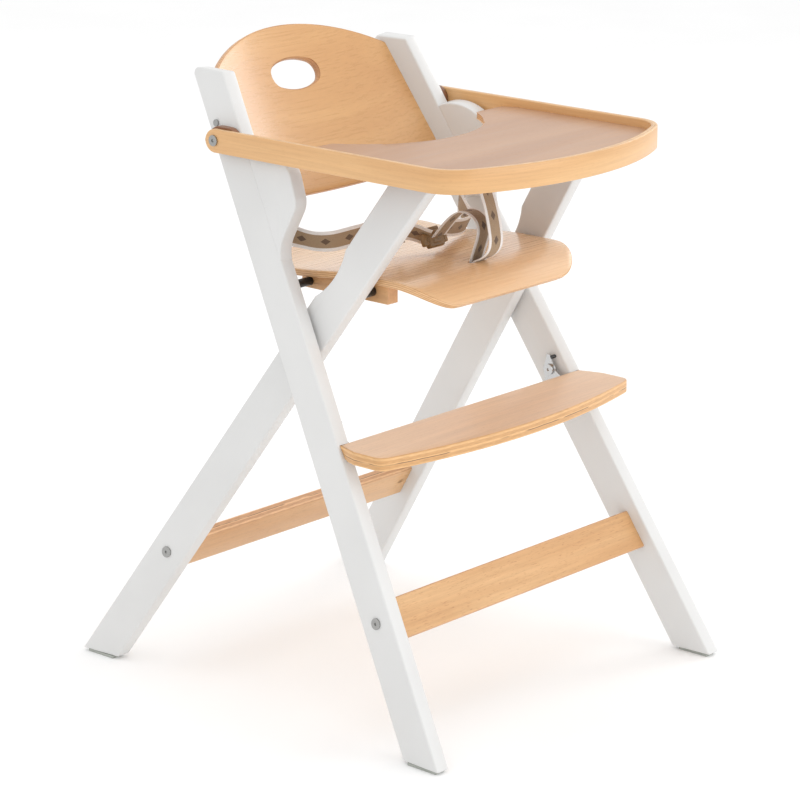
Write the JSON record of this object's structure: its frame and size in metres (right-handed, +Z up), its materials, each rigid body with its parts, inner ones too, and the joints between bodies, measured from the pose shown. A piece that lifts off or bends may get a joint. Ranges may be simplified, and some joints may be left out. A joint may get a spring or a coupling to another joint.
{
  "type": "folding high chair",
  "caption": "Folding wooden baby high chair with crossed splayed legs, moulded seat and backrest, footrest, harness and a tray that swings up over the backrest.",
  "frame": {"origin": "on the floor, at the middle of the bounding box", "axes": "+Z up, -Y towards the front of the chair, X across it"},
  "size_m": [0.6154, 0.6954, 0.886],
  "materials": {
    "lacquer": "satin white lacquer on wood",
    "timber": "clear satin varnish",
    "dark_timber": "dark satin varnish",
    "veneer": "clear satin varnish",
    "plywood": "clear satin varnish",
    "tray_laminate": "satin sealed veneer",
    "zinc": "zinc plated",
    "dark_steel": "satin black",
    "brass_insert": "plain",
    "black_plastic": "moulded",
    "buckle_plastic": "moulded",
    "olive_plastic": "moulded",
    "pad": "moulded",
    "webbing": "woven webbing with pale edges"
  },
  "bodies": {
    "front_frame": {"left_front_leg": "lacquer", "right_front_leg": "lacquer", "left_leg_wing": "lacquer", "right_leg_wing": "lacquer", "front_crossrail": "timber", "front_crossrail_bolts": "zinc", "front_barrel_nuts": "zinc", "front_foot_pads": "pad", "fold_pivot_bolts": "zinc", "fold_pivot_washers": "black_plastic", "fold_pivot_inserts": "brass_insert", "backrest": "veneer", "backrest_bolts": "zinc", "seat_rear_bolts": "zinc", "seat_rear_spacers": "black_plastic", "footrest_pivot_bolts": "zinc", "footrest_stop_pins": "dark_steel", "tray_spacer_blocks": "dark_timber", "left_waist_belt": "webbing", "right_waist_belt": "webbing", "belt_screws": "zinc"},
    "rear_frame": {"left_rear_leg": "lacquer", "right_rear_leg": "lacquer", "rear_crossrail": "timber", "rear_crossrail_bolts": "zinc", "rear_barrel_nuts": "zinc", "rear_foot_pads": "pad", "seat_front_bolts": "zinc", "seat_front_spacers": "black_plastic", "tray_rest_pads": "dark_timber"},
    "seat_unit": {"seat": "veneer", "left_seat_bearer": "timber", "right_seat_bearer": "timber", "seat_screws": "zinc", "buckle": "buckle_plastic", "belt_sliders": "olive_plastic", "crotch_strap": "webbing", "tray_strap": "webbing"},
    "footrest_unit": {"footrest": "plywood", "left_footrest_bracket": "zinc", "right_footrest_bracket": "zinc", "footrest_screws": "zinc"},
    "tray_pivots": {"tray_pivot_bolts": "zinc"},
    "tray": {"tray_rim": "veneer", "tray_board": "tray_laminate"}
  },
  "joints": [
    {"name": "fold", "type": "hinge", "parent": "front_frame", "child": "rear_frame", "pos_m": [0, -0.0262, 0.5107], "axis": [-1, 0, 0], "range_deg": [0, 42.5]},
    {"name": "seat_tilt", "type": "hinge", "parent": "front_frame", "child": "seat_unit", "pos_m": [0, 0.01344, 0.58019], "axis": [-1, 0, 0], "range_deg": [0, 34], "deforming": ["left_waist_belt", "right_waist_belt"]},
    {"name": "tray_follow", "type": "hinge", "parent": "front_frame", "child": "tray_pivots", "pos_m": [0, 0.1298, 0.768], "axis": [-1, 0, 0], "range_deg": [0, 85]},
    {"name": "tray_lift", "type": "hinge", "parent": "tray_pivots", "child": "tray", "pos_m": [0, 0.1298, 0.768], "axis": [-1, 0, 0], "range_deg": [0, 95], "deforming": ["tray_strap"]},
    {"name": "footrest_flip", "type": "hinge", "parent": "front_frame", "child": "footrest_unit", "pos_m": [0, -0.0945, 0.3962], "axis": [-1, 0, 0], "range_deg": [0, 55]}
  ],
  "couplings": [
    {"joint": "seat_tilt", "follows": "fold", "ratio": 0.8},
    {"joint": "tray_follow", "follows": "fold", "ratio": 2}
  ]
}
